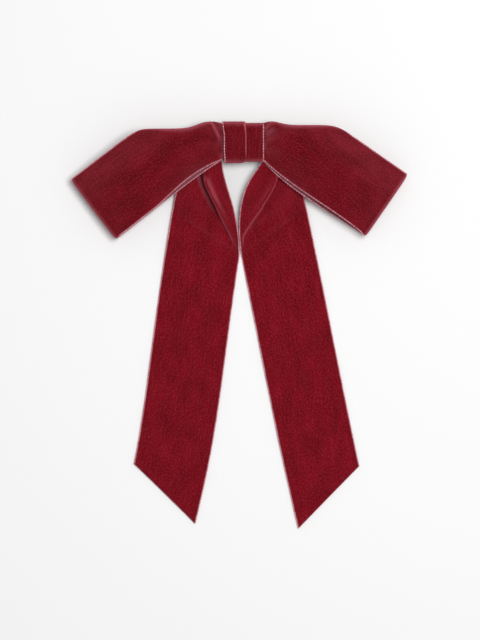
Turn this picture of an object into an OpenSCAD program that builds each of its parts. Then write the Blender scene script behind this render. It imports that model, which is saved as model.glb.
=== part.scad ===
// Velvet bow on an arched spring clip, lying on its clip with the bow's face up.
// X runs across the loops, -Y down the tails, Z out of the bow's face. Z = 0 is the table.
// The origin is the middle of the clasp arm's underside, straight below the knot.

/* [Ribbon] */
// Width of the velvet ribbon over its picot edges
ribbon_w = 41; // [30:0.5:50]
// Thickness of the ribbon with its pile
ribbon_t = 0.9; // [0.7:0.05:1.1]

/* [Loops] */
// Knot to the middle of the fold, left loop
loop_left_len = 80; // [66:1:98]
// Knot to the middle of the fold, right loop
loop_right_len = 76.5; // [64:0.5:94]
// Fall of the left loop's middle below level, in degrees
loop_left_fall = 27.5; // [24:0.5:32]
// Fall of the right loop's middle below level, in degrees
loop_right_fall = 27; // [24:0.5:32]
// Fall of the left loop's end below level, in degrees
fold_left_fall = 37; // [34:0.5:42]
// Fall of the right loop's end below level, in degrees
fold_right_fall = 34.5; // [34:0.5:42]
// Height above the waist where the left loop's upper edge runs level
shoulder_left_y = 7; // [6:0.5:10]
// Height above the waist where the right loop's upper edge runs level
shoulder_right_y = 9; // [6:0.5:10]
// Rise of the front layer between knot and fold
loop_puff = 6; // [5:0.5:8]
// Radius of the folds at the loops' ends
fold_r = 2.6; // [2:0.1:3]
// Height of the folds' middle above the table
fold_z = 8.6; // [7.5:0.1:10]

/* [Tails] */
// Point where the tails part to the long tip, left tail
tail_left_len = 150; // [120:1:200]
// Point where the tails part to the long tip, right tail
tail_right_len = 154; // [120:1:200]
// How much shorter the outer edge is than the long tip
tail_cut = 27; // [10:1:40]
// Angle of the left tail from straight down, in degrees
tail_left_splay = 9.4; // [7:0.1:14]
// Angle of the right tail from straight down, in degrees
tail_right_splay = 11.8; // [7:0.1:14]
// Distance from the waist down to the point where the tails part
tail_part_y = 63; // [52:1:76]
// Distance from the knot's middle to the side of that point
tail_part_x = -1.2; // [-2:0.1:2]
// Gap between the tails where they part
tail_gap = 0.9; // [0.6:0.1:3]

/* [Knot] */
// Width of the knot across the bow
knot_w = 22.7; // [18:0.1:28]
// Height of the knot along the tails
knot_h = 23.2; // [20:0.1:28]
// Thickness of the pleated band on the knot's front
knot_front_t = 2.3; // [1.8:0.1:3]
// Thickness of the band on the knot's sides
knot_side_t = 1.4; // [0.9:0.1:1.6]
// Corner radius of the knot
knot_r = 3.2; // [2:0.1:4]

/* [Thread] */
// Diameter of the binding and sewing thread
thread_d = 0.4; // [0.3:0.05:0.5]
// Number of binding turns round the waist
thread_turns = 6; // [3:1:10]
// Number of stitches that close the band
stitch_count = 8; // [4:1:12]
// Length of one closing stitch
stitch_l = 2.6; // [2:0.1:4]

/* [Clip] */
// Length of the top plate, tip to tip
clip_l = 80; // [66:1:98]
// Width of the top plate
clip_w = 9; // [8.6:0.1:10.8]
// Thickness of the top plate
clip_t = 0.6; // [0.5:0.05:0.8]
// Rise of the top plate's arch
clip_rise = 4.5; // [3.8:0.1:5]
// Radius of the sewing holes
sew_r = 1; // [0.8:0.05:1.2]
// Sewing hole's middle to the plate's tip
sew_inset = 2.4; // [2.2:0.1:2.6]
// Hinge pin and catch rivet to the plate's tips
fixing_inset = 8.5; // [8:0.1:10]

/* [Hinge] */
// Radius of the hinge pin
pin_r = 0.7; // [0.6:0.05:0.85]
// Height of the hinge pin's middle
pin_z = 3.5; // [3.3:0.1:3.8]
// Clearance between the pin and its holes
pin_fit = 0.05; // [0.03:0.01:0.08]

/* [Clasp arm] */
// Gap between the arm and each hinge ear
arm_side_gap = 0.4; // [0.2:0.05:0.6]
// Height of the arm's side walls
arm_h = 1.6; // [1.5:0.05:1.8]
// Thickness of the arm's sheet
arm_t = 0.5; // [0.4:0.05:0.6]
// Hair space between the arm's rim and the leaf spring
hair_gap = 5.4; // [4.8:0.1:6.5]

/* [Spring and catch] */
// Thickness of the leaf spring
spring_t = 0.3; // [0.2:0.05:0.4]
// Gap between the leaf spring and each lip of the catch
spring_side_gap = 0.6; // [0.3:0.1:1]
// Thickness of the catch's sheet
catch_t = 0.5; // [0.4:0.05:0.6]
// Length of the catch along the clip
catch_l = 6; // [5:0.1:7]
// Gap between the barbs and the window they sit in
barb_fit = 0.05; // [0.04:0.01:0.1]

/* [Hidden] */
$fn = 64;
arch_fn = 720;

// The top plate is a true arc about a line along Y; this is the radius of its underside
clip_r = (clip_l * clip_l / 4 + clip_rise * clip_rise) / (2 * clip_rise);

// Heights, stacked from the table up through the knot
slip = 0.1;
spring_top = arm_h + hair_gap + spring_t;
band_under = spring_top + thread_d + 3 * slip;
band_drop = arch_drop(knot_w / 2);
crown = band_under + ribbon_t + band_drop + slip;
plate_top = crown + clip_t;
thread_low = plate_top + thread_d / 2 + slip / 2;
tail_z = thread_low + thread_d / 2 + slip + ribbon_t / 2;
back_z = tail_z + ribbon_t + slip;
front_z = back_z + ribbon_t + slip;
thread_high = front_z + ribbon_t / 2 + thread_d / 2 + slip;
band_inner_z = thread_high + thread_d / 2 + slip;
band_top = band_inner_z + knot_front_t;

// Half heights inside the knot, measured along Y
band_inner_y = knot_h / 2 - knot_side_t;
thread_y = band_inner_y - thread_d / 2 - slip;
gather_y = thread_y - thread_d / 2 - slip;

// The clip's stations along X, and the height of the arch's centre
arch_z0 = crown - clip_r;
pin_x = clip_l / 2 - fixing_inset;
rivet_x = -pin_x;
sew_x = clip_l / 2 - sew_inset;

// Hinge
ear_t = clip_t;
ear_r = 2;
lobe_r = pin_r + 0.6;
pin_head_r = pin_r + 0.45;
pin_head_t = 0.4;

// Clasp arm, between the hinge ears
arm_w = clip_w - 2 * (ear_t + arm_side_gap);
arm_tip_x = -clip_l / 2 + 4;
arm_root_x = pin_x + 1.5;
arm_corner_r = 2;
seat_z = 0.9;

// Catch: the tabs bend on the lips of the base, their prongs inside the arm and their wings outside
window_x = catch_l / 2 + 0.3;
window_y = arm_w / 2 - 1.6;
lip_y = arm_w / 2 - 0.4;
lip_z = arch_under(rivet_x - window_x, catch_t) - slip;
shelf_z = lip_z - 1.3;
prong_y = window_y - catch_t - 0.3;
prong_tip_z = 0.15;
prong_l = catch_l - 0.6;
barb_h = 0.7;
wing_y = arm_w / 2 + 1.4;
wing_tip_y = wing_y + 1.2;
wing_tip_z = shelf_z - 2.7;
wing_roll_r = 0.3;
spring_w = 2 * (lip_y - spring_side_gap);
rivet_r = 0.8;
rivet_head_r = 1.4;
rivet_head_t = 0.4;

// Leaf spring: clamped foot at the catch, free end against the plate by the hinge
leaf_x0 = rivet_x + catch_l / 2 + 0.1;
leaf_x1 = pin_x - 1.5;
leaf_z0 = arch_under(leaf_x0, catch_t + spring_t / 2);
leaf_z1 = arch_under(leaf_x1, spring_t / 2 + slip / 5);
leaf_chord = norm([leaf_x1 - leaf_x0, leaf_z1 - leaf_z0]);
leaf_sag = spring_top - spring_t / 2 - (leaf_z0 + leaf_z1) / 2;
leaf_r = (leaf_chord * leaf_chord / 4 + leaf_sag * leaf_sag) / (2 * leaf_sag);
leaf_tilt = atan2(leaf_z1 - leaf_z0, leaf_x1 - leaf_x0);
leaf_mid_x = (leaf_x0 + leaf_x1) / 2 + sin(leaf_tilt) * (leaf_r - leaf_sag);
leaf_mid_z = (leaf_z0 + leaf_z1) / 2 - cos(leaf_tilt) * (leaf_r - leaf_sag);

// Ribbon sweeps
layer_steps = 14;
fold_steps = 6;
neck_steps = 12;

// Outlines of the loops. The upper edge runs level beside the knot, then bends to the fold. The lower edge
// leaves the knot and runs into the fold as given parts of the loop's length, for the left and right loops
shoulder_run = 14;
shoulder_bend = 1.2;
low_lead = [0.19, 0.14];
low_drop = [0.11, 0.19];
low_flat = 0.25;
back_bend = 1.3;
puff_skew = 0.8;

// Outlines of the tails' necks: the run out of the knot, the run into the straight part,
// how far the outer edge turns straight before the inner one, and the rise of the cupped outer edge
outer_lead = 12.5;
outer_flat = 18;
inner_lead = 1.7;
inner_drop = 16;
inner_flat = 23;
neck_inset = 1.5;
neck_over = 20;
cup = 1.8;
cup_run = 10;
tail_bend = 1.45;

// How far the arch has dropped at x, and the height of a surface offset below it
function arch_drop(x) = clip_r - sqrt(clip_r * clip_r - x * x);
function arch_under(x, depth) = arch_z0 + sqrt(pow(clip_r - depth, 2) - x * x);
function leaf_height(x, grow) = leaf_mid_z + sqrt(pow(leaf_r + grow, 2) - pow(x - leaf_mid_x, 2));

function mix(a, b, t) = a + (b - a) * t;
function flip(side, p) = [side * p[0], p[1]];
function curve(p, t) =
    pow(1 - t, 3) * p[0] + 3 * pow(1 - t, 2) * t * p[1] + 3 * (1 - t) * t * t * p[2] + pow(t, 3) * p[3];
function soft_min(a, b, blend) = -blend * ln(exp(-a / blend) + exp(-b / blend));
function lift(p, z) = [p[0], p[1], z];

// Triangles round a sweep of four-cornered rings
function side_faces(i, j) = [
    for (k = [0:3])
        let (m = (k + 1) % 4)
            each [[4 * i + k, 4 * i + m, 4 * j + m], [4 * i + k, 4 * j + m, 4 * j + k]]
];
function end_faces(n) =
    let (k = 4 * n - 4)
        [[2, 1, 0], [3, 2, 0], [k, k + 1, k + 2], [k, k + 2, k + 3]];

// A ring of four corners: the ribbon's two edges, half its thickness either way along a normal
function ring_at(top, low, normal) = [
    top + normal * ribbon_t / 2,
    top - normal * ribbon_t / 2,
    low - normal * ribbon_t / 2,
    low + normal * ribbon_t / 2
];

// Loops. side is -1 for the left loop and 1 for the right one; lean is the fall of the loop's end
function fold_mid(side, reach, fall) =
    flip(side, [knot_w / 2 + reach * cos(fall), -reach * sin(fall)]);
function fold_out(side, lean) = flip(side, [cos(lean), -sin(lean)]);
function fold_up(side, lean) = flip(side, [sin(lean), cos(lean)]);
function fold_end(side, reach, fall, lean, edge) =
    fold_mid(side, reach, fall)
    + fold_up(side, lean) * edge * ribbon_w / 2
    - fold_out(side, lean) * fold_r;
function top_edge(side, reach, fall, lean, shoulder, u) =
    let (
        end = flip(side, fold_end(side, reach, fall, lean, 1)),
        x = mix(knot_w / 2, end[0], u),
        level = mix(shoulder, gather_y, exp(-pow((x - knot_w / 2) / shoulder_run, 4))),
        slope = end[1] + (end[0] - x) * tan(lean)
    )
        [side * x, soft_min(level, slope, shoulder_bend)];
function low_edge(side, reach, fall, lean, u) =
    let (end = fold_end(side, reach, fall, lean, -1), k = side < 0 ? 0 : 1)
        curve([
            [side * knot_w / 2, -gather_y],
            [side * (knot_w / 2 + low_lead[k] * reach), -gather_y - low_drop[k] * reach],
            end - fold_out(side, lean) * low_flat * reach,
            end
        ], u);
function back_height(u) = mix(back_z, fold_z - fold_r, pow(u, back_bend));
function front_height(u) = mix(front_z, fold_z + fold_r, u * u) + loop_puff * sin(180 * pow(u, puff_skew));
function loop_rings(side, reach, fall, lean, shoulder) =
    let (
        us = [for (i = [0:layer_steps]) i / layer_steps],
        top = [for (u = us) top_edge(side, reach, fall, lean, shoulder, u)],
        low = [for (u = us) low_edge(side, reach, fall, lean, u)],
        out = lift(fold_out(side, lean), 0),
        n = layer_steps
    )
        [
            for (i = [0:n])
                let (z = back_height(us[i]))
                    ring_at(lift(top[i], z), lift(low[i], z), [0, 0, -1]),
            for (i = [1:fold_steps - 1])
                let (
                    a = 180 * i / fold_steps,
                    normal = out * sin(a) - [0, 0, cos(a)],
                    middle = normal * fold_r + [0, 0, fold_z]
                )
                    ring_at(lift(top[n], 0) + middle, lift(low[n], 0) + middle, normal),
            for (i = [n:-1:0])
                let (z = front_height(us[i]))
                    ring_at(lift(top[i], z), lift(low[i], z), [0, 0, 1])
        ];
function reversed(list) = [for (i = [len(list) - 1:-1:0]) list[i]];

// Tails. The inner edges part at tail_part_y; below it both edges are straight
function tail_dir(side, splay) = flip(side, [sin(splay), -cos(splay)]);
function tail_across(side, splay) = flip(side, [cos(splay), sin(splay)]);
function tail_parting(side) = [tail_part_x + side * tail_gap / 2, -tail_part_y];
function outer_neck(side, splay) =
    let (
        down = tail_dir(side, splay),
        parting = tail_parting(side),
        end = parting + tail_across(side, splay) * ribbon_w - down * neck_over
    )
        [
            [side * knot_w / 2, gather_y - neck_inset],
            [side * (knot_w / 2 + outer_lead), gather_y - neck_inset / 3],
            end - down * outer_flat,
            end
        ];
function inner_neck(side) =
    let (end = tail_parting(side))
        [
            [side * knot_w / 2, neck_inset - gather_y],
            [side * (knot_w / 2 + inner_lead), -gather_y - inner_drop],
            end + [0, inner_flat],
            end
        ];
// An edge of a tail follows the plate's arch beside the knot, then falls to its foot
function tail_height(p, end, foot) =
    let (
        over = tail_z + arch_drop(knot_w / 2) - arch_drop(p[0]),
        fall = max(0, (p[1] + gather_y) / (end[1] + gather_y))
    )
        mix(over, foot, pow(fall, tail_bend));
function tail_rings(side, reach, splay) =
    let (
        outer = outer_neck(side, splay),
        inner = inner_neck(side),
        down = tail_dir(side, splay),
        flat_z = ribbon_t / 2
    )
        [
            for (i = [0:neck_steps])
                let (
                    u = i / neck_steps,
                    far = curve(outer, u),
                    near = curve(inner, u)
                )
                    ring_at(
                        lift(far, tail_height(far, outer[3], flat_z + cup)),
                        lift(near, tail_height(near, inner[3], flat_z)),
                        [0, 0, 1]
                    ),
            ring_at(
                lift(outer[3] + down * (neck_over + cup_run), flat_z),
                lift(inner[3] + down * cup_run, flat_z),
                [0, 0, 1]
            ),
            ring_at(
                lift(outer[3] + down * (neck_over + reach - tail_cut), flat_z),
                lift(inner[3] + down * reach, flat_z),
                [0, 0, 1]
            )
        ];

// Points of an arc, for rounded outlines
function arc_points(mid, r, a0, a1) = [
    for (i = [0:8])
        let (a = mix(a0, a1, i / 8))
            mid + r * [cos(a), sin(a)]
];

// A slab that follows the top plate's arch between two depths below it, over a stretch of X
module arch_slab(shallow, deep, width, x0, x1) {
    intersection() {
        translate([0, 0, arch_z0])
            rotate([90, 0, 0])
                difference() {
                    cylinder(r = clip_r - shallow, h = width, center = true, $fn = arch_fn);
                    cylinder(r = clip_r - deep, h = width + 2, center = true, $fn = arch_fn);
                }
        translate([x0, -width, 0])
            cube([x1 - x0, 2 * width, 2 * crown]);
    }
}

// What lies under a surface at a depth below the arch
module below_arch(depth) {
    intersection() {
        translate([0, 0, arch_z0])
            rotate([90, 0, 0])
                cylinder(r = clip_r - depth, h = 2 * clip_w, center = true, $fn = arch_fn);
        children();
    }
}

// Children stand on the plate's underside at x, with Z along the arch's normal
module on_arch(x) {
    translate([0, 0, arch_z0])
        rotate([0, asin(x / clip_r), 0])
            translate([0, 0, clip_r])
                children();
}

// A round bar or hole along Y
module bar_y(x, z, r, y0, y1) {
    translate([x, y1, z])
        rotate([90, 0, 0])
            cylinder(r = r, h = y1 - y0);
}

module loop_ribbon() {
    rings = concat(
        loop_rings(-1, loop_left_len, loop_left_fall, fold_left_fall, shoulder_left_y),
        reversed(loop_rings(1, loop_right_len, loop_right_fall, fold_right_fall, shoulder_right_y))
    );
    n = len(rings);
    color("#7a1020")
        polyhedron(
            points = [for (ring = rings) each ring],
            faces = [for (i = [0:n - 1]) each side_faces(i, (i + 1) % n)],
            convexity = 6
        );
}

module tail_ribbon() {
    rings = concat(
        reversed(tail_rings(-1, tail_left_len, tail_left_splay)),
        tail_rings(1, tail_right_len, tail_right_splay)
    );
    n = len(rings);
    color("#6f0e1d")
        polyhedron(
            points = [for (ring = rings) each ring],
            faces = concat([for (i = [0:n - 2]) each side_faces(i, i + 1)], end_faces(n)),
            convexity = 4
        );
}

// The band's ring in the YZ plane, drawn as X = Y and Y = Z
module band_outline(y, z_top, z_side, y_low, z_low, r) {
    polygon(concat(
        [[-y_low, z_low], [y_low, z_low], [y, z_side]],
        arc_points([y - r, z_top - r], r, 0, 90),
        arc_points([r - y, z_top - r], r, 90, 180),
        [[-y, z_side]]
    ));
}

module knot_band() {
    inner_low_y = clip_w / 2 + 0.7;
    color("#7a1020")
        rotate([90, 0, 90])
            linear_extrude(height = knot_w, center = true)
                difference() {
                    band_outline(knot_h / 2, band_top, plate_top, inner_low_y + 0.6, band_under, knot_r);
                    band_outline(band_inner_y, band_inner_z, plate_top, inner_low_y,
                        band_under + ribbon_t, 2 * slip);
                }
}

module waist_thread() {
    r = thread_d / 2;
    pitch = 1;
    color("#5a0c18")
        for (i = [0:thread_turns - 1])
            translate([(i - (thread_turns - 1) / 2) * pitch, 0, 0])
                rotate([90, 0, 90])
                    linear_extrude(height = thread_d, center = true)
                        difference() {
                            thread_outline(r);
                            thread_outline(-r);
                        }
}

// One binding turn's outline, grown by r
module thread_outline(r) {
    translate([-thread_y - r, thread_low - r])
        square([2 * (thread_y + r), thread_high - thread_low + 2 * r]);
}

module band_stitches() {
    margin = 2;
    pitch = (knot_w - 2 * margin) / (stitch_count - 1);
    r = thread_d / 2;
    color("#5a0c18")
        for (i = [0:stitch_count - 1])
            bar_y(margin - knot_w / 2 + i * pitch, band_under - r, r, -stitch_l / 2, stitch_l / 2);
}

module plate_outline() {
    r = clip_w / 2;
    square([clip_l - 2 * r, clip_w], center = true);
    for (side = [-1, 1])
        translate([side * (clip_l / 2 - r), 0])
            circle(r = r);
}

module top_plate() {
    color("#b9bcc0")
        difference() {
            union() {
                intersection() {
                    arch_slab(-clip_t, 0, 2 * clip_w, -clip_l, clip_l);
                    linear_extrude(height = 2 * crown)
                        plate_outline();
                }
                below_arch(-clip_t / 2)
                    for (side = [-1, 1])
                        hinge_ear(side);
            }
            for (side = [-1, 1])
                translate([side * sew_x, 0, 0])
                    cylinder(r = sew_r, h = 2 * crown);
            on_arch(rivet_x)
                cylinder(r = rivet_r + pin_fit, h = 4, center = true);
            bar_y(pin_x, pin_z, pin_r + pin_fit, -clip_w, clip_w);
        }
}

module hinge_ear(side) {
    y = side * (clip_w - ear_t) / 2;
    bar_y(pin_x, pin_z, ear_r, y - ear_t / 2, y + ear_t / 2);
    translate([pin_x - ear_r, y - ear_t / 2, pin_z])
        cube([2 * ear_r, ear_t, crown]);
}

module hinge_pin() {
    head_y = clip_w / 2 + slip / 5;
    color("#9a9da1") {
        bar_y(pin_x, pin_z, pin_r, -head_y - pin_head_t, head_y + pin_head_t);
        for (side = [-1, 1])
            bar_y(pin_x, pin_z, pin_head_r, side * (head_y + pin_head_t / 2) - pin_head_t / 2,
                side * (head_y + pin_head_t / 2) + pin_head_t / 2);
    }
}

module arm_outline() {
    r = arm_corner_r;
    translate([arm_tip_x + r, -arm_w / 2])
        square([arm_root_x - arm_tip_x - r, arm_w]);
    translate([arm_tip_x, -arm_w / 2 + r])
        square([2 * r, arm_w - 2 * r]);
    for (side = [-1, 1])
        translate([arm_tip_x + r, side * (arm_w / 2 - r)])
            circle(r = r);
}

module clasp_arm() {
    inner_w = arm_w - 2 * arm_t;
    seat_x = rivet_x + window_x + 0.3;
    color("#b9bcc0")
        difference() {
            union() {
                intersection() {
                    linear_extrude(height = arm_h)
                        arm_outline();
                    union() {
                        // Side walls
                        for (side = [-1, 1])
                            translate([arm_tip_x, side * (arm_w - arm_t) / 2 - arm_t / 2, 0])
                                cube([arm_root_x - arm_tip_x, arm_t, arm_h]);
                        // Floor of the channel
                        translate([seat_x, -inner_w / 2 - slip, 0])
                            cube([arm_root_x - seat_x, inner_w + 2 * slip, arm_t]);
                        // Raised seat for the catch, and the step up to it
                        translate([arm_tip_x, -inner_w / 2 - slip, seat_z])
                            cube([seat_x + arm_t - arm_tip_x, inner_w + 2 * slip, arm_t]);
                        translate([seat_x, -inner_w / 2 - slip, 0])
                            cube([arm_t, inner_w + 2 * slip, seat_z + arm_t]);
                    }
                }
                for (side = [-1, 1])
                    arm_lobe(side);
            }
            translate([rivet_x - window_x, -window_y, 0])
                cube([2 * window_x, 2 * window_y, 2 * arm_h]);
            bar_y(pin_x, pin_z, pin_r + pin_fit, -clip_w, clip_w);
        }
}

module arm_lobe(side) {
    y = side * (arm_w - arm_t) / 2;
    bar_y(pin_x, pin_z, lobe_r, y - arm_t / 2, y + arm_t / 2);
    translate([pin_x - lobe_r, y - arm_t / 2, arm_t])
        cube([2 * lobe_r, arm_t, pin_z - arm_t]);
}

// The spring seen along Y: its foot follows the catch base, then the leaf takes its own arc
module spring_outline() {
    foot_x0 = rivet_x - catch_l / 2 + 0.5;
    foot = [for (i = [0:6]) mix(foot_x0, leaf_x0, i / 6)];
    leaf = [for (i = [1:24]) mix(leaf_x0, leaf_x1, i / 24)];
    top = concat(
        [for (x = foot) [x, arch_under(x, catch_t + slip / 10)]],
        [for (x = leaf) [x, leaf_height(x, spring_t / 2)]]
    );
    under = concat(
        [for (x = foot) [x, arch_under(x, catch_t + spring_t)]],
        [for (x = leaf) [x, leaf_height(x, -spring_t / 2)]]
    );
    polygon(concat(top, reversed(under)));
}

module tension_spring() {
    color("#a6a9ad")
        difference() {
            rotate([90, 0, 0])
                linear_extrude(height = spring_w, center = true)
                    spring_outline();
            on_arch(rivet_x)
                cylinder(r = rivet_r + pin_fit, h = 4, center = true);
        }
}

module catch_base() {
    x0 = rivet_x - catch_l / 2;
    base_w = 2 * (lip_y + catch_t);
    color("#8f9296")
        difference() {
            union() {
                arch_slab(0, catch_t, base_w, rivet_x - window_x, rivet_x + window_x);
                below_arch(catch_t / 2)
                    for (side = [-1, 1])
                        translate([x0, side * (lip_y + catch_t / 2) - catch_t / 2, lip_z])
                            cube([catch_l, catch_t, crown]);
            }
            on_arch(rivet_x)
                cylinder(r = rivet_r + pin_fit, h = 4, center = true);
        }
}

// A squeeze tab, seen along X: a stub under the base's lip, a shelf, a barbed prong and a finger wing
module catch_tab() {
    wing_foot = [wing_tip_y + catch_t / 2, wing_tip_z];
    translate([rivet_x, 0, 0])
        rotate([90, 0, 90]) {
            linear_extrude(height = catch_l, center = true) {
                translate([lip_y, shelf_z])
                    square([catch_t, lip_z - slip / 5 - shelf_z]);
                translate([prong_y, shelf_z])
                    square([wing_y + catch_t - prong_y, catch_t]);
                polygon([
                    [wing_y, shelf_z + catch_t],
                    [wing_y, shelf_z],
                    [wing_tip_y, wing_tip_z],
                    [wing_tip_y + catch_t, wing_tip_z],
                    [wing_y + catch_t, shelf_z + catch_t]
                ]);
            }
            translate([wing_foot[0], wing_foot[1], 0])
                cylinder(r = wing_roll_r, h = catch_l, center = true);
            linear_extrude(height = prong_l, center = true)
                polygon([
                    [prong_y, shelf_z + catch_t / 2],
                    [prong_y, prong_tip_z],
                    [prong_y + catch_t, prong_tip_z],
                    [window_y - barb_fit, prong_tip_z + barb_h],
                    [prong_y + catch_t, prong_tip_z + barb_h],
                    [prong_y + catch_t, shelf_z + catch_t / 2]
                ]);
        }
}

module catch_tab_upper() {
    color("#8f9296")
        catch_tab();
}

module catch_tab_lower() {
    color("#8f9296")
        mirror([0, 1, 0])
            catch_tab();
}

module catch_rivet() {
    clamped = catch_t + spring_t + slip / 5;
    color("#9a9da1")
        on_arch(rivet_x) {
            translate([0, 0, -clamped - rivet_head_t])
                cylinder(r = rivet_r, h = clamped + clip_t + 2 * rivet_head_t);
            translate([0, 0, clip_t])
                cylinder(r = rivet_head_r, h = rivet_head_t);
            translate([0, 0, -clamped - rivet_head_t])
                cylinder(r = rivet_head_r, h = rivet_head_t);
        }
}

loop_ribbon();
tail_ribbon();
knot_band();
waist_thread();
band_stitches();
top_plate();
hinge_pin();
clasp_arm();
tension_spring();
catch_base();
catch_tab_upper();
catch_tab_lower();
catch_rivet();
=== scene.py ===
"""Looks of the velvet bow: three velvet ribbons in place of the plain CAD ones, on the CAD clip.

X runs across the loops, -Y down the tails and Z out of the bow's face. Lengths are in millimetres
and become metres where a mesh is made. V runs across a ribbon from 0 to 1, U along it.
"""

import math

import bpy
import numpy as np
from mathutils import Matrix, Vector


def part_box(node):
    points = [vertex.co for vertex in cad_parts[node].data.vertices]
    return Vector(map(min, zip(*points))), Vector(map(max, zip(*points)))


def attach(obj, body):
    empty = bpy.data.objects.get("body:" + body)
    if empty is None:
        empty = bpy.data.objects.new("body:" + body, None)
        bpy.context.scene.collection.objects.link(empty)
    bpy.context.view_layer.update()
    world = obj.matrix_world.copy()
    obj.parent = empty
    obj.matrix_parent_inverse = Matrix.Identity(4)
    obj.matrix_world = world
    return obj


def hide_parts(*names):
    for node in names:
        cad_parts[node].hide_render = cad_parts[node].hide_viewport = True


MM = 0.001
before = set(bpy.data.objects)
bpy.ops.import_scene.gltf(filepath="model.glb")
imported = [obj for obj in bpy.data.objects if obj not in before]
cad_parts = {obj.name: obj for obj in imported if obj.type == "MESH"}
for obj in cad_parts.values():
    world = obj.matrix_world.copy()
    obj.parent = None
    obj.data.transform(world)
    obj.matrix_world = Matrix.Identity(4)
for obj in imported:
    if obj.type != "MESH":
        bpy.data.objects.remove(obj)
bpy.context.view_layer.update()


def box_mm(node):
    low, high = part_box(node)
    return np.array(low) / MM, np.array(high) / MM


# Sizes that the CAD part gives
knot_low, knot_high = box_mm("knot_band")
loops_low, loops_high = box_mm("loop_ribbon")
tails_low = box_mm("tail_ribbon")[0]
plate_high = box_mm("top_plate")[1]
KNOT_W = knot_high[0] - knot_low[0]
KNOT_H = knot_high[1] - knot_low[1]

# Sizes that this script repeats from the CAD source
RIBBON_W = 41.0
RIBBON_T = 0.9
GATHER_Y = KNOT_H / 2 - 2.0
TAIL_Z = plate_high[2] + 1.0
BACK_Z = TAIL_Z + 1.0
FRONT_Z = BACK_Z + 1.0
FOLD_Z = 8.6
FOLD_R = 2.6
LOOP_PUFF = 6.0
SHOULDER_RUN = 14.0
LOW_FLAT = 0.25
BACK_BEND = 1.3
PUFF_SKEW = 0.8
PART_X = -1.2
PART_Y = 63.0
TAIL_GAP = 0.9
TAIL_CUT = 27.0
TAIL_DIFFERENCE = 4.0
TAIL_BEND = 1.45
NECK_INSET = 1.5
NECK_OVER = 20.0
OUTER_FLAT = 18.0
CUP = 1.8
PLATE_RISE = 4.5
LEFT = {"side": -1, "fall": 27.5, "lean": 37.0, "splay": 9.4, "shoulder": 7.0, "lead": (0.19, 0.11)}
RIGHT = {"side": 1, "fall": 27.0, "lean": 34.5, "splay": 11.8, "shoulder": 9.0, "lead": (0.14, 0.19)}

# Where the velvet differs from the plain CAD ribbons: it stops short of the picot edges, its shoulders
# are rounder, its necks leave the knot further out, and the knot's pleats are pressed thin
PICOT = 0.35
SHOULDER_BEND = 1.8
OUTER_LEAD = 15.0
PLEAT_T = 0.46

# How finely the ribbons are drawn
LOOP_STEPS = 120
FOLD_STEPS = 14
TAIL_STEPS = 260
KNOT_STEPS = 220
ACROSS = 72
KNOT_ACROSS = 96


def sin_deg(a):
    return np.sin(np.radians(a))


def cos_deg(a):
    return np.cos(np.radians(a))


def mix(a, b, t):
    return a + (b - a) * t


def smooth(a, b, x):
    t = np.clip((np.asarray(x, float) - a) / (b - a), 0, 1)
    return t * t * (3 - 2 * t)


def bump(x, middle, width):
    return np.exp(-(((np.asarray(x, float) - middle) / width) ** 2))


def flip(side, x, y):
    return np.array([side * x, y])


def bezier(points, t):
    p = np.array(points, float)
    t = np.asarray(t, float)[..., None]
    return (1 - t) ** 3 * p[0] + 3 * (1 - t) ** 2 * t * p[1] + 3 * (1 - t) * t * t * p[2] + t**3 * p[3]


def unit(v):
    return v / np.maximum(np.linalg.norm(v, axis=-1, keepdims=True), 1e-9)


def ripple(x, y, seed):
    """Gentle unevenness of a soft ribbon, from -1 to 1."""
    waves = [(0.11, 0.05, 0.0), (-0.06, 0.13, 1.7), (0.19, 0.16, 3.1), (-0.27, 0.11, 5.2)]
    return sum(np.sin(a * x + b * y + c + seed) for a, b, c in waves) / len(waves)


# ---------------------------------------------------------------- ribbon outlines, as in the CAD


def loop_reach(loop):
    """Knot to fold, worked out from how far the CAD loop reaches."""
    far = loops_high[0] if loop["side"] > 0 else -loops_low[0]
    lean = loop["lean"]
    corner = sin_deg(lean) * RIBBON_W / 2 + cos_deg(lean) * RIBBON_T / 2
    return (far - KNOT_W / 2 - corner) / cos_deg(loop["fall"])


def fold_frame(loop):
    """The fold's middle, and its directions outward and along the fold."""
    side, lean, reach = loop["side"], loop["lean"], loop_reach(loop)
    out = flip(side, cos_deg(lean), -sin_deg(lean))
    up = flip(side, sin_deg(lean), cos_deg(lean))
    middle = flip(side, KNOT_W / 2 + reach * cos_deg(loop["fall"]), -reach * sin_deg(loop["fall"]))
    return middle, out, up


def loop_edges(loop, u):
    """The ribbon's lower and upper edges at u, from 0 at the knot to 1 at the fold."""
    side, reach = loop["side"], loop_reach(loop)
    middle, out, up = fold_frame(loop)
    top_end = middle + up * RIBBON_W / 2 - out * FOLD_R
    low_end = middle - up * RIBBON_W / 2 - out * FOLD_R
    x = mix(KNOT_W / 2, side * top_end[0], u)
    beside = x - KNOT_W / 2
    level = mix(loop["shoulder"], GATHER_Y, np.exp(-((beside / SHOULDER_RUN) ** 4)))
    level = level + loop["rise"] * bump(x, *loop["crest"])
    slope = top_end[1] + (side * top_end[0] - x) * math.tan(math.radians(loop["lean"]))
    bend = SHOULDER_BEND
    top = flip(side, x, -bend * np.log(np.exp(-level / bend) + np.exp(-slope / bend)))
    along, drop = loop["lead"]
    low = [
        flip(side, KNOT_W / 2, -GATHER_Y),
        flip(side, KNOT_W / 2 + along * reach, -GATHER_Y - drop * reach),
        low_end - out * LOW_FLAT * reach,
        low_end,
    ]
    return bezier(low, u), top


def back_height(u):
    return mix(BACK_Z, FOLD_Z - FOLD_R, u**BACK_BEND)


def front_height(u):
    return mix(FRONT_Z, FOLD_Z + FOLD_R, u * u) + LOOP_PUFF * np.sin(np.pi * u**PUFF_SKEW)


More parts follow.
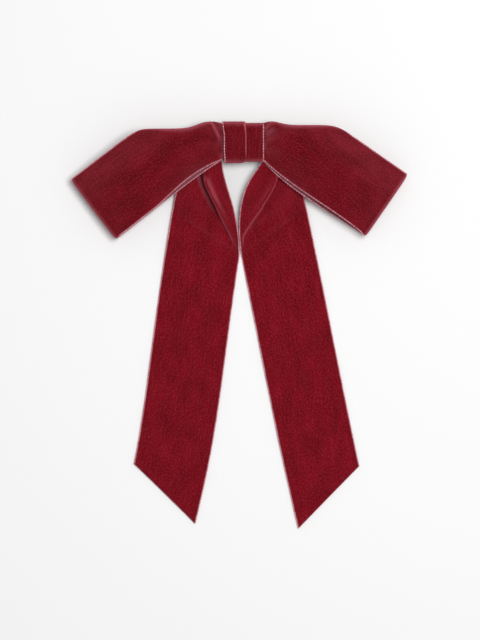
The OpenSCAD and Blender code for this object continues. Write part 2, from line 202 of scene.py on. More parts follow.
def tail_reach(tail):
    """From where the tails part to the long tip, from how far down the CAD tail reaches."""
    lowest = (-tails_low[1] - PART_Y) / cos_deg(RIGHT["splay"])
    return lowest - (TAIL_DIFFERENCE if tail["side"] < 0 else 0)


def tail_necks(tail):
    """The curves of a neck's outer and inner edges, and the way down the tail."""
    side, splay = tail["side"], tail["splay"]
    down = flip(side, sin_deg(splay), -cos_deg(splay))
    across = flip(side, cos_deg(splay), sin_deg(splay))
    parting = np.array([PART_X + side * TAIL_GAP / 2, -PART_Y])
    end = parting + across * RIBBON_W - down * NECK_OVER
    outer = [
        flip(side, KNOT_W / 2, GATHER_Y - NECK_INSET),
        flip(side, KNOT_W / 2 + OUTER_LEAD, GATHER_Y - NECK_INSET / 3),
        end - down * OUTER_FLAT,
        end,
    ]
    leave, settle = tail["inner"]
    inner = [flip(side, KNOT_W / 2, NECK_INSET - GATHER_Y), flip(side, *leave), parting + settle, parting]
    return outer, inner, down


# ---------------------------------------------------------------- ribbon surfaces


def front_section(loop, u, v):
    """Points across a loop's front layer at u. Near the knot its upper edge rolls back and under."""
    side = loop["side"]
    a, b = loop_edges(loop, u)
    e = unit(b - a)
    a = a + e * (PICOT + loop["inset"](u))
    chord = np.linalg.norm(b - a)
    rolled = 1 - smooth(0.3, loop["roll_end"], u)
    r = 0.12 + 2.9 * rolled * smooth(-0.04, 0.16, u)
    turn = math.radians(mix(70, 215, rolled * smooth(0.0, 0.12, u)))
    under = 5.0 * rolled * smooth(0.05, 0.2, u)
    flat = chord - r
    rest = r * turn + under
    share = flat / (flat + rest)
    w = np.clip(v / share, 0, 1)
    past = np.clip((v - share) / (1 - share), 0, 1) * rest
    angle = np.minimum(past / r, turn)
    straight = np.maximum(past - r * turn, 0)

    z_top = front_height(u)
    z_back = back_height(u) + RIBBON_T + 0.15
    z_low = mix(z_back, z_top, mix(0.3, 1.0, smooth(0.35, 1.0, u)))
    z = mix(z_low, z_top, 1 - (1 - w) ** 2.1) + loop["belly"] * np.sin(np.pi * u) * w * (1 - w)
    reach = flat * w + r * np.sin(angle) + straight * np.cos(turn)
    z = z - r * (1 - np.cos(angle)) - straight * np.sin(turn)
    xy = a + e * reach[:, None]

    x, y = side * xy[:, 0], xy[:, 1]
    fade = smooth(0.0, 0.05, u) * (1 - smooth(0.93, 1.0, u))
    pleats = 0.75 * np.sin(2 * np.pi * 2.3 * v + loop["phase"]) * np.exp(-u / 0.14)
    z = z + fade * pleats * (v < share + 0.2) + 0.35 * fade * ripple(x, y, loop["phase"])
    z = z + fade * loop["crease"](x, y) * (angle < 1.2)
    return np.column_stack([xy, z])


def loop_surface(loop, v):
    """One loop from the knot along its back layer, round the fold and back along its front layer."""
    out = fold_frame(loop)[1]
    us = mixed_steps(LOOP_STEPS)
    rows = []
    for u in us:
        a, b = loop_edges(loop, u)
        z = back_height(u) + 0.15 * np.sin(2 * np.pi * v + 3 * u) * np.sin(np.pi * u)
        rows.append(np.column_stack([a + (b - a) * v[:, None], z]))
    for i in range(1, FOLD_STEPS):
        turn = np.pi * i / FOLD_STEPS
        rounding = 0.7 * (np.exp(-v / 0.03) + np.exp(-(1 - v) / 0.03)) * np.sin(turn)
        swell = FOLD_R * (1 + 0.05 * ripple(30 * v, 0 * v, loop["phase"]))
        a, b = loop_edges(loop, 1.0)
        xy = a + (b - a) * v[:, None] + out * (swell * np.sin(turn) - rounding)[:, None]
        rows.append(np.column_stack([xy, FOLD_Z - FOLD_R * np.cos(turn) + 0 * v]))
    for u in us[::-1]:
        rows.append(front_section(loop, u, v))
    return np.array(rows)


def mixed_steps(n):
    """Steps from 0 to 1 that are closest together near the knot."""
    t = np.linspace(0, 1, n)
    return mix(t, t * t, 0.55)


def tail_height(p, end, foot):
    """How high a neck's edge lies at p: on the plate at first, then falling to foot at the neck's end."""
    drop = plate_arch(p[0]) - plate_arch(KNOT_W / 2)
    fall = max(0.0, (p[1] + GATHER_Y) / (end[1] + GATHER_Y))
    return mix(TAIL_Z - drop, foot, fall**TAIL_BEND)


def plate_arch(x):
    """How far the clip's arched plate has dropped at x."""
    half = plate_high[0]
    r = (half * half + PLATE_RISE * PLATE_RISE) / (2 * PLATE_RISE)
    return r - np.sqrt(r * r - x * x)


def plate_rest(xy):
    """The lowest a ribbon's middle may lie on the clip's plate. Past the plate's margin it falls away."""
    slip, margin, steep = 0.03, 0.6, 1.5
    beside = np.maximum(0, np.abs(xy[:, 1]) - plate_high[1] - margin)
    beyond = np.maximum(0, np.abs(xy[:, 0]) - plate_high[0] - margin)
    return plate_high[2] - plate_arch(xy[:, 0]) + RIBBON_T / 2 + slip - steep * (beside + beyond)


def loop_ceiling(xy):
    """The highest a tail's middle may lie under a loop's back layer. Past the loop's edge it rises away."""
    gap, edge_y, edge_slope = 0.4, -14.0, 0.6
    out = np.maximum(0, np.abs(xy[:, 0]) - KNOT_W / 2)
    back = back_height(np.minimum(1, out / loop_reach(LEFT)))
    past_edge = np.maximum(0, edge_y - edge_slope * out - xy[:, 1])
    return back - RIBBON_T - gap + past_edge


def zigzag(s, lengths, corner, rim_sheen=1.0):
    """A section folded like a Z: how far across and how far up it has come at s. turned is how far
    the folds have closed, from 0 to 1."""
    first, second = lengths[0], lengths[0] + lengths[1]
    folded_over = smooth(first - corner, first + corner, s)
    folded_back = smooth(second - corner, second + corner, s)
    turn = np.pi * rim_sheen * (folded_over - folded_back)
    ds = np.gradient(s)
    return np.cumsum(np.cos(turn) * ds), np.cumsum(np.sin(turn) * ds)


def neck_section(tail, far, near, far_z, near_z, full):
    """Points across a tail's neck, outer edge first. What is too wide for the gap lies in a fold: a tongue
    on top, its ridge lifted where it comes out from under the loop, and a hollow beside the ridge."""
    span = np.linalg.norm(near - far)
    spare = max(0.0, (full - span) / 2)
    y = near[1]
    wide, narrow = tail["tongue"]
    tongue = mix(wide, narrow, smooth(-30, -48, y)) * (1 - smooth(*tail["ends"], y))
    tongue = max(spare + 0.5, min(span - 0.8, tongue))
    s = np.linspace(0, full, 6 * ACROSS)
    corner = mix(0.4, 1.1, smooth(-16, -32, y))
    across, up = zigzag(s, (full - tongue - spare, spare), corner, smooth(0.0, 2.0, spare))
    across = across * span / across[-1]
    low_z = near_z - up[-1]
    z = mix(far_z, low_z, smooth(0.0, span, across)) + up
    open_here = smooth(-12, -24, y) * (1 - smooth(-36, -60, y)) * smooth(0.0, 2.0, spare)
    xy = far + (near - far) * (across / span)[:, None]
    off_plate = smooth(-8, -15, xy[:, 1])
    z = z - tail["hollow"] * open_here * off_plate * bump(s, span - tongue - 1.5, 4.0) * smooth(1.0, 5.0, z)
    out_of_loop = smooth(*tail["lift_from"], y) * open_here
    z = z + tail["lift"] * out_of_loop * bump(s, full - tongue, 5.0)
    z = np.maximum(np.minimum(z, loop_ceiling(xy)), plate_rest(xy))
    pick = np.linspace(0, len(s) - 1, ACROSS).round().astype(int)
    return np.column_stack([xy, z])[pick]


def tail_surface(tail, v):
    """One tail from the knot to its slanted tip. V is 0 at the inner edge and 1 at the outer one."""
    outer, inner, down = tail_necks(tail)
    reach = tail_reach(tail)
    side = tail["side"]
    flat_z = RIBBON_T / 2 + 0.02
    full_end = math.hypot(RIBBON_W, NECK_OVER) - 2 * PICOT
    rows = []
    for u in mixed_steps(TAIL_STEPS // 2):
        far, near = bezier(outer, u), bezier(inner, u)
        e = unit(near - far)
        far_z = tail_height(far, outer[3], flat_z + CUP)
        near_z = tail_height(near, inner[3], flat_z)
        full = mix(RIBBON_W - 2 * PICOT, full_end, u)
        rows.append(neck_section(tail, far + e * PICOT, near - e * PICOT, far_z, near_z, full)[::-1])
    straight_outer = NECK_OVER + reach - TAIL_CUT
    tip_y = (inner[3] + down * reach)[1]
    for t in np.linspace(0, 1, TAIL_STEPS - len(rows) + 1)[1:]:
        far = outer[3] + down * straight_outer * t
        near = inner[3] + down * reach * t
        e = unit(near - far)
        near = near - e * PICOT
        far = far + e * PICOT
        xy = near + (far - near) * v[:, None]
        cup = CUP * (1 - smooth(0.0, 0.25, t)) * v**2
        wave = 0.28 * (1 + ripple(xy[:, 0], xy[:, 1] * 0.7, 2 + side))
        edge = 0.35 * (np.exp(-v / 0.05) + np.exp(-(1 - v) / 0.05)) * (1 + ripple(xy[:, 1], xy[:, 0], side))
        z = flat_z + cup + smooth(0.0, 0.15, t) * (wave + edge)
        hung = np.clip((inner[3][1] - xy[:, 1]) / (inner[3][1] - tip_y), 0, 1)
        bow = tail["bow"] * np.sin(math.pi * hung**1.6)
        rows.append(np.column_stack([xy[:, 0] + side * bow, xy[:, 1], z]))
    return np.array(rows)


def thick_mesh(name, points, closed, uvs, materials, thickness=RIBBON_T):
    """A sheet of that thickness round a grid of middle points, with rounded rims.
    The first material is on the pile's side and the second on the back."""
    rows, n = points.shape[:2]
    if closed:
        du = np.roll(points, -1, 0) - np.roll(points, 1, 0)
    else:
        du = np.gradient(points, axis=0)
    dv = np.gradient(points, axis=1)
    normal = unit(np.cross(du, dv))
    width = np.linalg.norm(np.diff(points, axis=1), axis=2)
    run = np.concatenate([np.zeros((rows, 1)), np.cumsum(width, 1)], 1)
    rim = np.minimum(run, run[:, -1:] - run) / (thickness * 0.55)
    half = thickness / 2 * np.sqrt(np.clip(1 - np.clip(1 - rim, 0, 1) ** 2, 0.02, 1))
    top_sheen_mask = points + normal * half[..., None]
    lower = points - normal * half[..., None]
    verts = np.concatenate([top_sheen_mask.reshape(-1, 3), lower.reshape(-1, 3)]) * MM
    total = rows * n
    faces, slots = [], []
    last = rows if closed else rows - 1
    for i in range(last):
        j = (i + 1) % rows
        for k in range(n - 1):
            faces.append((i * n + k, j * n + k, j * n + k + 1, i * n + k + 1))
            slots.append(0)
            faces.append((total + i * n + k + 1, total + j * n + k + 1, total + j * n + k, total + i * n + k))
            slots.append(1)
        faces.append((i * n, total + i * n, total + j * n, j * n))
        faces.append((j * n + n - 1, total + j * n + n - 1, total + i * n + n - 1, i * n + n - 1))
        slots += [0, 0]
    if not closed:
        for i, order in ((0, 1), (rows - 1, -1)):
            for k in range(n - 1):
                quad = (i * n + k, i * n + k + 1, total + i * n + k + 1, total + i * n + k)
                faces.append(quad[::order])
                slots.append(0)
    mesh = bpy.data.meshes.new(name)
    mesh.from_pydata(verts.tolist(), [], faces)
    mesh.polygons.foreach_set("material_index", slots)
    mesh.polygons.foreach_set("use_smooth", [True] * len(faces))
    layer = mesh.uv_layers.new(name="UVMap")
    flat_uv = np.concatenate([uvs.reshape(-1, 2), uvs.reshape(-1, 2)])
    index = np.zeros(len(mesh.loops), np.int32)
    mesh.loops.foreach_get("vertex_index", index)
    layer.data.foreach_set("uv", flat_uv[index].astype(np.float32).ravel())
    for m in materials:
        mesh.materials.append(m)
    mesh.update()
    piece = bpy.data.objects.new(name, mesh)
    bpy.context.scene.collection.objects.link(piece)
    return piece


def grid_uvs(points, v):
    """U is the length along the middle of the ribbon and V the place across it, both in ribbon widths."""
    middle = points[:, points.shape[1] // 2]
    run = np.concatenate([[0], np.cumsum(np.linalg.norm(np.diff(middle, axis=0), axis=1))])
    uvs = np.zeros(points.shape[:2] + (2,))
    uvs[..., 0] = run[:, None] / RIBBON_W
    uvs[..., 1] = v[None, :]
    return uvs


def resample(line, step):
    run = np.concatenate([[0], np.cumsum(np.linalg.norm(np.diff(line, axis=0), axis=1))])
    count = max(4, int(run[-1] / step))
    t = np.linspace(0, run[-1], count)
    return np.column_stack([np.interp(t, run, line[:, i]) for i in range(3)]), t


def selvedge(name, lines, material, radius=0.42, pitch=1.6):
    """The woven edge: a fine cord along each line, drawn into picots at every pitch."""
    verts, faces = [], []
    sides = 7
    for line in lines:
        points, run = resample(np.asarray(line), 0.32)
        tangent = unit(np.gradient(points, axis=0))
        normal = unit(np.cross(tangent, np.array([0.0, 0.0, 1.0]) + 0 * tangent))
        up = np.cross(normal, tangent)
        r = radius * (0.8 + 0.35 * np.cos(2 * np.pi * run / pitch))
        first = len(verts)
        for k in range(sides):
            a = 2 * np.pi * k / sides
            ring = points + (normal * np.cos(a) + up * np.sin(a)) * r[:, None]
            verts.extend((ring * MM).tolist())
        n = len(points)
        for k in range(sides):
            m = (k + 1) % sides
            for i in range(n - 1):
                here, beside = first + k * n + i, first + m * n + i
                faces.append((here, beside, beside + 1, here + 1))
        faces.append([first + k * n for k in range(sides)][::-1])
        faces.append([first + k * n + n - 1 for k in range(sides)])
    mesh = bpy.data.meshes.new(name)
    mesh.from_pydata(verts, [], faces)
    mesh.polygons.foreach_set("use_smooth", [True] * len(faces))
    mesh.materials.append(material)
    mesh.update()
    piece = bpy.data.objects.new(name, mesh)
    bpy.context.scene.collection.objects.link(piece)
    return piece


# ---------------------------------------------------------------- materials


class Nodes:
    """A small helper to write a material's node tree."""

    def __init__(self, name):
        self.material = bpy.data.materials.new(name)
        self.material.use_nodes = True
        self.tree = self.material.node_tree
        self.shader = self.tree.nodes["Principled BSDF"]

    def add(self, kind, inputs=None, **settings):
        node = self.tree.nodes.new(kind)
        for key, value in settings.items():
            setattr(node, key, value)
        for key, value in (inputs or {}).items():
            self.set(node.inputs[key], value)
        return node

    def set(self, socket, value):
        if isinstance(value, bpy.types.NodeSocket):
            self.tree.links.new(value, socket)
        else:
            socket.default_value = value

    def shade(self, **inputs):
        for key, value in inputs.items():
            self.set(self.shader.inputs[key.replace("_", " ")], value)

    def stretched(self, coordinates, scale):
        return self.add("ShaderNodeMapping", {"Vector": coordinates, "Scale": scale}).outputs["Vector"]

    def noise(self, vector, scale, detail=2.0, roughness=0.5):
        return self.add(
            "ShaderNodeTexNoise", {"Vector": vector, "Scale": scale, "Detail": detail, "Roughness": roughness}
        ).outputs["Fac"]

    def ramp(self, factor, stops):
        node = self.add("ShaderNodeValToRGB", {"Fac": factor})
        elements = node.color_ramp.elements
        while len(elements) < len(stops):
            elements.new(0.5)
        for element, (place, colour) in zip(elements, stops):
            element.position = place
            element.color = colour if len(colour) == 4 else (*colour, 1)
        return node.outputs["Color"]

    def blend(self, factor, a, b, kind="MIX"):
        node = self.add("ShaderNodeMix", data_type="RGBA", blend_type=kind)
        self.set(node.inputs[0], factor)
        self.set(node.inputs[6], a)
        self.set(node.inputs[7], b)
        return node.outputs[2]

    def maths(self, kind, a, b=0.0, c=0.0):
        node = self.add("ShaderNodeMath", operation=kind)
        for socket, value in zip(node.inputs, (a, b, c)):
            self.set(socket, value)
        return node.outputs[0]

    def bumped(self, height, strength, distance, normal=None):
        inputs = {"Height": height, "Strength": strength, "Distance": distance}
        if normal is not None:
            inputs["Normal"] = normal
        return self.add("ShaderNodeBump", inputs).outputs["Normal"]


def grey(x):
    return (x, x, x, 1)


BRUSHED_PINK = (0.44, 0.085, 0.115, 1)


def velvet(name, painted_shade, painted_top_sheen, painted_ridge_at=None):
    """Crimson pile: mottled where it has been brushed, faint ribs along the ribbon, a painted sheen where it
    turns away.
    The second argument darkens it all as painted shade, the third paints a pale sheen towards the upper edge
    as a painted highlight, and the last is the place across the ribbon where a pale line is painted along the
    fold's ridge as a highlight."""
    n = Nodes(name)
    uv = n.add("ShaderNodeUVMap", uv_map="UVMap").outputs["UV"]
    # Random mottle of the pile; the same noise also makes the painted sheens below patchy
    mottle_and_sheen = n.noise(n.stretched(uv, (1.1, 2.0, 1)), 2.6, 4.0, 0.55)
    colour = n.ramp(
        mottle_and_sheen,
        [(0.30, (0.142, 0.0008, 0.0046)), (0.50, (0.178, 0.0012, 0.0068)), (0.72, (0.222, 0.0026, 0.0108))],
    )
    # Painted shade: the whole colour darkened by the second argument, so the pieces are lighter and darker
    # copies of one velvet
    colour = n.blend(1.0, colour, grey(painted_shade), "MULTIPLY")
    ribs = n.noise(n.stretched(uv, (2.0, 62.0, 1)), 1.6, 2.0, 0.55)
    colour = n.blend(0.15, colour, n.ramp(ribs, [(0.35, grey(0.62)), (0.65, grey(1.0))]), "MULTIPLY")
    tufts = n.noise(uv, 46.0, 4.0, 0.75)
    colour = n.blend(0.45, colour, n.ramp(tufts, [(0.34, grey(0.55)), (0.62, grey(1.0))]), "MULTIPLY")
    tips = n.ramp(tufts, [(0.48, grey(0.0)), (0.72, grey(0.24))])
    colour = n.blend(tips, colour, BRUSHED_PINK)
    streaks = n.ramp(ribs, [(0.52, grey(0.0)), (0.74, grey(0.07))])
    colour = n.blend(streaks, colour, BRUSHED_PINK)
    across = n.add("ShaderNodeSeparateXYZ", {"Vector": uv}).outputs["Y"]
    # Painted highlight: a pale pink line along the pleat's fold ridge, broken up by the tufts
    if painted_ridge_at is not None:
        gap = n.maths("ABSOLUTE", n.maths("SUBTRACT", across, painted_ridge_at))
        ridge_line = n.ramp(gap, [(0.006, grey(0.95)), (0.022, grey(0.0))])
        colour = n.blend(n.maths("MULTIPLY", ridge_line, tufts), colour, (0.60, 0.180, 0.220, 1))
    # Painted highlight: a pale pink sheen towards the ribbon's upper edge, patchy with the mottle
    top_sheen_mask = n.ramp(across, [(0.52, grey(0.0)), (0.80, grey(painted_top_sheen))])
    colour = n.blend(n.maths("MULTIPLY", top_sheen_mask, mottle_and_sheen), colour, (0.46, 0.085, 0.115, 1))
    # Painted sheen: the colour turns pale pink where the surface turns away from the eye
    facing = n.add("ShaderNodeLayerWeight", {"Blend": 0.5}).outputs["Facing"]
    rim_sheen = n.maths("MULTIPLY", n.maths("POWER", facing, 1.25), n.maths("MULTIPLY_ADD", mottle_and_sheen, 1.2, 0.5))
    colour = n.blend(n.maths("MINIMUM", rim_sheen, 0.36), colour, (0.58, 0.140, 0.180, 1))
    pile = n.noise(uv, 330.0, 2.0, 0.75)
    normal = n.bumped(mottle_and_sheen, 0.5, 0.0012)
    normal = n.bumped(ribs, 0.25, 0.00015, normal)
    normal = n.bumped(tufts, 0.5, 0.00025, normal)
    normal = n.bumped(pile, 0.5, 0.00012, normal)
    n.shade(Base_Color=colour, Normal=normal, Roughness=n.ramp(pile, [(0.2, grey(0.82)), (0.8, grey(1.0))]))
    n.shade(Specular_IOR_Level=0.05, Sheen_Weight=0.40, Sheen_Roughness=0.38, Sheen_Tint=(1.0, 0.16, 0.28, 1))
    return n.material


def satin():
    """The ribbon's plain woven back."""
    n = Nodes("ribbon_back")
    uv = n.add("ShaderNodeUVMap", uv_map="UVMap").outputs["UV"]
    warp = n.add(
        "ShaderNodeTexWave", {"Vector": uv, "Scale": 26.0, "Distortion": 0.5}, bands_direction="Y"
    ).outputs["Fac"]
    weft = n.noise(n.stretched(uv, (120.0, 6.0, 1)), 1.5, 2.0)
    colour = n.blend(warp, (0.150, 0.012, 0.024, 1), (0.235, 0.026, 0.044, 1))
    colour = n.blend(0.4, colour, n.ramp(weft, [(0.3, grey(0.55)), (0.7, grey(1.0))]), "MULTIPLY")
    n.shade(Base_Color=colour, Normal=n.bumped(warp, 0.3, 0.0001))
    n.shade(Roughness=n.ramp(weft, [(0.0, grey(0.38)), (1.0, grey(0.55))]), Specular_IOR_Level=0.4)
    return n.material


def woven_edge():
    """Pale pink picots of the selvedge, with the darker ground showing between them."""
    n = Nodes("selvedge_weave")
    place = n.add("ShaderNodeTexCoord").outputs["Object"]
    patches = n.noise(place, 420.0, 3.0, 0.65)
    threads = n.noise(place, 2600.0, 2.0, 0.6)
    colour = n.ramp(
        patches,
        [(0.28, (0.27, 0.050, 0.070)), (0.44, (0.47, 0.160, 0.200)), (0.66, (0.62, 0.290, 0.330))],
    )
    n.shade(Base_Color=colour, Normal=n.bumped(threads, 0.5, 0.0001), Sheen_Weight=0.4)
    n.shade(Roughness=n.ramp(threads, [(0.0, grey(0.5)), (1.0, grey(0.8))]), Specular_IOR_Level=0.3)
    return n.material


def steel(name, tone, roughness, scratches):
    """Plated or spring steel: fine drawing lines along the clip, small scratches and duller patches."""
    n = Nodes(name)
    place = n.add("ShaderNodeTexCoord").outputs["Object"]
    lines = n.noise(n.stretched(place, (60.0, 2200.0, 900.0)), 1.0, 3.0, 0.6)
    patches = n.noise(place, 130.0, 4.0, 0.6)
    marks = n.noise(n.stretched(place, (900.0, 190.0, 400.0)), 1.0, 5.0, 0.75)
    colour = n.ramp(patches, [(0.3, tuple(c * 0.86 for c in tone)), (0.7, tone)])
    worn = n.ramp(marks, [(0.63, grey(0.0)), (0.69, grey(scratches))])
    colour = n.blend(worn, colour, (0.20, 0.19, 0.18, 1))
    rough = n.maths("MULTIPLY_ADD", lines, 0.16, roughness - 0.05)
    rough = n.maths("MULTIPLY_ADD", patches, 0.10, rough)
    normal = n.bumped(marks, 0.12, 0.00005, n.bumped(lines, 0.10, 0.00004))
    n.shade(Base_Color=colour, Roughness=rough, Normal=normal, Metallic=1.0)
    return n.material


def sewing_thread():
    """Twisted polyester thread."""
    n = Nodes("sewing_thread")
    place = n.add("ShaderNodeTexCoord").outputs["Object"]
    twist = n.add(
        "ShaderNodeTexWave",
        {"Vector": place, "Scale": 900.0, "Distortion": 1.5, "Detail": 2.0},
        bands_direction="DIAGONAL",
    ).outputs["Fac"]
    colour = n.blend(twist, (0.060, 0.004, 0.009, 1), (0.150, 0.014, 0.026, 1))
    n.shade(Base_Color=colour, Normal=n.bumped(twist, 0.6, 0.00008))
    n.shade(Roughness=n.ramp(twist, [(0.0, grey(0.45)), (1.0, grey(0.7))]), Sheen_Weight=0.3)
    return n.material


def floor_paper():
    """Matt white paper."""
    n = Nodes("studio_paper")
    place = n.add("ShaderNodeTexCoord").outputs["Object"]
    fibre = n.noise(place, 900.0, 4.0, 0.6)
    colour = n.ramp(fibre, [(0.2, (0.855, 0.855, 0.855)), (0.8, (0.870, 0.870, 0.870))])
    n.shade(Base_Color=colour, Specular_IOR_Level=0.1)
    n.shade(Roughness=n.ramp(fibre, [(0.0, grey(0.85)), (1.0, grey(0.95))]))
    return n.material


# Second number: painted shade, darker on the knot and loops than on the tails. Third: painted sheen towards
# the loops' upper edge
TAIL_VELVET = velvet("velvet_pile", 0.95, 0.0)
KNOT_VELVET = velvet("velvet_pile_pleated", 0.75, 0.0, painted_ridge_at=0.33)
LOOP_VELVET = velvet("velvet_pile_shaded_top_sheen", 0.75, 0.12)
SATIN = satin()
EDGE = woven_edge()

# ---------------------------------------------------------------- the pieces

ACROSS_V = np.linspace(0, 1, ACROSS)


def near_line(x, y, a, b, width):
    """1 on the line from a to b, fading within that width of it and towards b."""
    p = np.column_stack([x, y])
    d = np.array(b) - np.array(a)
    t = np.clip(((p - a) @ d) / (d @ d), 0, 1)
    away = np.linalg.norm(p - (np.array(a) + t[:, None] * d), axis=1)
    return np.exp(-((away / width) ** 2)) * (1 - t * t)


def left_crease(x, y):
    dent = near_line(x, y, (15.8, 10.5), (11.0, 1.0), 0.8)
    ridge = near_line(x, y, (17.8, 9.6), (12.8, 1.0), 1.2)
    return 1.1 * ridge - 2.0 * dent


def right_crease(x, y):
    dent = near_line(x, y, (11.6, 3.2), (19.0, 8.0), 0.9)
    ridge = near_line(x, y, (11.6, 5.6), (18.0, 9.6), 1.2)
    return 1.1 * ridge - 1.9 * dent


def rolled_in(painted_shade, length, power):
    """How far the roll draws in a loop's upper edge, over that share of the loop's length."""
    return lambda u: painted_shade * np.sin(np.pi * np.clip(u / length, 0, 1)) ** power


# Loops: crease is the gathers beside the knot, rise and crest a hump in the upper edge, inset and roll_end
# how its edge rolls under, belly its fullness, and phase sets its unevenness apart from the other's
LEFT.update(crease=left_crease, rise=1.6, crest=(20, 10))
LEFT.update(inset=rolled_in(1.9, 0.62, 1.2), roll_end=0.62, belly=1.6, phase=0.4)
RIGHT.update(crease=right_crease, rise=1.5, crest=(16, 6))
RIGHT.update(inset=rolled_in(1.5, 1.0, 0.8), roll_end=0.66, belly=1.6, phase=2.1)

# Tails: inner is where the neck's inner edge leads and settles, tongue its width at the top and lower
# down, ends and lift_from places down the neck, lift and hollow heights, bow how far it bends outward
LEFT.update(inner=((11.9, -24.0), (0, 30)), tongue=(22.0, 11.5), ends=(-44, -64))
LEFT.update(lift=3.6, lift_from=(-24, -36), hollow=4.2, bow=-2.3)
RIGHT.update(inner=((12.6, -16.0), (-6.25, 44)), tongue=(20.5, 12.0), ends=(-42, -57))
RIGHT.update(lift=2.2, lift_from=(-22, -36), hollow=1.4, bow=-0.7)


def make_loops():
    left = loop_surface(LEFT, ACROSS_V)
    right = loop_surface(RIGHT, ACROSS_V)
    inside = 6
    back_join = [mix(right[0], left[0], t) for t in np.linspace(0, 1, inside + 2)[1:-1]]
    front_join = [mix(left[-1], right[-1], t) for t in np.linspace(0, 1, inside + 2)[1:-1]]
    points = np.concatenate([left, front_join, right[::-1], back_join])
    uvs = grid_uvs(points, ACROSS_V)
    ribbon = thick_mesh("velvet_loops", points, True, uvs, [LOOP_VELVET, SATIN])
    flat_length = uvs[-1, 0, 0] * RIBBON_W
    edges = selvedge("loop_selvedge", [left[:, 0], left[:, -1], right[:, 0], right[:, -1]], EDGE)
    return ribbon, edges, flat_length


def make_tails():
    left = tail_surface(LEFT, ACROSS_V)
    right = tail_surface(RIGHT, ACROSS_V)
    # Both inner edges are the ribbon's lower edge at the waist
    join = [mix(left[0], right[0], t) for t in np.linspace(0, 1, 8)[1:-1]]
    points = np.concatenate([left[::-1], join, right])
    uvs = grid_uvs(points, ACROSS_V)
    ribbon = thick_mesh("velvet_tails", points, False, uvs, [TAIL_VELVET, SATIN])
    edges = selvedge("tail_selvedge", [left[:, 0], left[:, -1], right[:, 0], right[:, -1]], EDGE)
    return ribbon, edges, points


def knot_path(n):
    """The band's way round the knot in the YZ plane: points, outward normals and lengths."""
    top, half = knot_high[2] - 2.0, KNOT_H / 2 - 1.13
    low_half, low = plate_high[1] + 0.9, knot_low[2] + 0.45
    corner = 2.8
    line = []
    for a in np.linspace(0, 90, 9):
        line.append((half - corner + corner * sin_deg(a), top - corner + corner * cos_deg(a)))
    line += [(half, plate_high[2]), (mix(half, low_half, 0.5), mix(plate_high[2], low, 0.5)), (low_half, low)]
    side = np.array(line)
    other = side[::-1] * [-1, 1]
    ring = np.concatenate([side, other])
    ring = np.concatenate([ring, ring[:1]])
    run = np.concatenate([[0], np.cumsum(np.linalg.norm(np.diff(ring, axis=0), axis=1))])
    t = np.linspace(0, run[-1], n + 1)[:-1]
    points = np.column_stack([np.interp(t, run, ring[:, i]) for i in range(2)])
    tangent = unit(np.roll(points, -1, 0) - np.roll(points, 1, 0))
    for _ in range(3):
        tangent = unit(tangent + np.roll(tangent, 1, 0) + np.roll(tangent, -1, 0))
    normal = np.column_stack([-tangent[:, 1], tangent[:, 0]])
    return points, normal, t


def make_knot():
    """The band: a ribbon folded lengthwise into two pleats, the left one over the right one."""
    points, normal, run = knot_path(KNOT_STEPS)
    under = -5.8
    right_edge = KNOT_W / 2 - 0.2
    corner = 0.42
    rows = []
    for (y, z), (ny, nz) in zip(points, normal):
        left_edge = -10.4 - 0.9 * smooth(3, 11, y) + 0.5 * smooth(-4, -11, y)
        ridge = 1.8 - 0.6 * smooth(5, 11, y) - 3.0 * smooth(-9.0, -11.5, y)
        lengths = np.array([ridge - left_edge, ridge - under, right_edge - under])
        s = np.linspace(0, lengths.sum(), KNOT_ACROSS)
        across, h = zigzag(s, lengths, corner)
        x = left_edge + across
        h = h[-1] - h
        front = max(0.0, nz)
        sway = 0.12 * np.sin(1.1 * x + 0.16 * y) + 0.08 * np.sin(2.3 * x - 0.21 * y)
        bulge = 0.55 * np.sin(np.pi * np.clip((x - left_edge) / (right_edge - left_edge), 0, 1))
        h = h + front * (sway + bulge)
        rows.append(np.column_stack([x, y + ny * h, z + nz * h]))
    grid = np.array(rows)[::-1]
    uvs = grid_uvs(grid, np.linspace(0, 1, KNOT_ACROSS))
    band = thick_mesh("velvet_knot", grid, True, uvs, [KNOT_VELVET, SATIN], thickness=PLEAT_T)
    edges = selvedge("knot_selvedge", [grid[:, 0], grid[:, -1]], EDGE, radius=0.40)
    return band, edges, run[-1]


loops, loops_edge, loops_length = make_loops()
tails, tails_edge, tail_points = make_tails()
knot, knot_edge, knot_length = make_knot()

for piece in (loops, loops_edge, tails, tails_edge, knot, knot_edge):
    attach(piece, "root")
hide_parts("loop_ribbon")
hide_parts("tail_ribbon")
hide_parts("knot_band")

# ---------------------------------------------------------------- finishes of the CAD parts

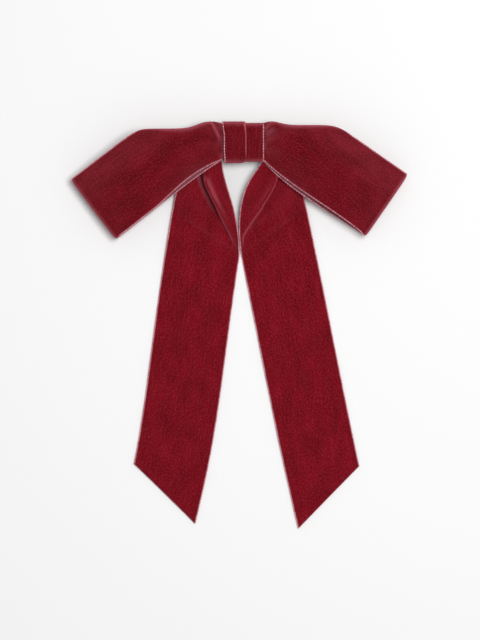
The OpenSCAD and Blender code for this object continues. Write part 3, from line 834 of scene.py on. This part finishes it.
THREAD = sewing_thread()
PLATED = steel("plated_steel", (0.62, 0.61, 0.59), 0.24, 0.55)
SPRING = steel("spring_steel", (0.44, 0.43, 0.42), 0.32, 0.75)
FINISHES = {
    "waist_thread": THREAD,
    "band_stitches": THREAD,
    "top_plate": PLATED,
    "hinge_pin": SPRING,
    "clasp_arm": PLATED,
    "tension_spring": SPRING,
    "catch_base": PLATED,
    "catch_tab_upper": SPRING,
    "catch_tab_lower": SPRING,
    "catch_rivet": PLATED,
}
for name, finish in FINISHES.items():
    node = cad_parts[name]
    node.data.materials.clear()
    node.data.materials.append(finish)

# ---------------------------------------------------------------- floor, light and camera

CAMERA_AT = Vector((-1.4, -98.1, 0)) * MM
CAMERA_HEIGHT = 3.2
VIEW_HEIGHT = 354.6 * MM
FLOOR_REACH = 3.0
KEY_PLACE = (0.26, 0.10, 1.3)
KEY_TARGET = (0, -0.08, 0)
KEY_SIZE = 0.5
KEY_POWER = 13.0
WORLD_STRENGTH = 0.44


def make_floor():
    mesh = bpy.data.meshes.new("floor")
    reach = FLOOR_REACH
    corners = [(-reach, -reach, 0), (reach, -reach, 0), (reach, reach, 0), (-reach, reach, 0)]
    mesh.from_pydata(corners, [], [(0, 1, 2, 3)])
    mesh.materials.append(floor_paper())
    floor = bpy.data.objects.new("floor", mesh)
    bpy.context.scene.collection.objects.link(floor)


def add_softbox(name, place, target, size, power):
    light = bpy.data.lights.new(name, "AREA")
    light.shape = "RECTANGLE"
    light.size = light.size_y = size
    light.energy = power
    lamp = bpy.data.objects.new(name, light)
    lamp.location = place
    lamp.rotation_mode = "QUATERNION"
    lamp.rotation_quaternion = (Vector(target) - Vector(place)).to_track_quat("-Z", "Y")
    bpy.context.scene.collection.objects.link(lamp)


def add_world(strength):
    world = bpy.data.worlds.new("studio")
    world.use_nodes = True
    background = world.node_tree.nodes["Background"]
    background.inputs["Color"].default_value = (1, 1, 1, 1)
    background.inputs["Strength"].default_value = strength
    bpy.context.scene.world = world


def add_camera():
    data = bpy.data.cameras.new("camera")
    data.sensor_width = 36
    data.lens = data.sensor_width * CAMERA_HEIGHT / VIEW_HEIGHT
    camera = bpy.data.objects.new("camera", data)
    camera.location = CAMERA_AT + Vector((0, 0, CAMERA_HEIGHT))
    bpy.context.scene.collection.objects.link(camera)
    bpy.context.scene.camera = camera


make_floor()
add_softbox("key", KEY_PLACE, KEY_TARGET, KEY_SIZE, KEY_POWER)
add_world(WORLD_STRENGTH)
add_camera()
bpy.context.scene.view_settings.view_transform = "Standard"
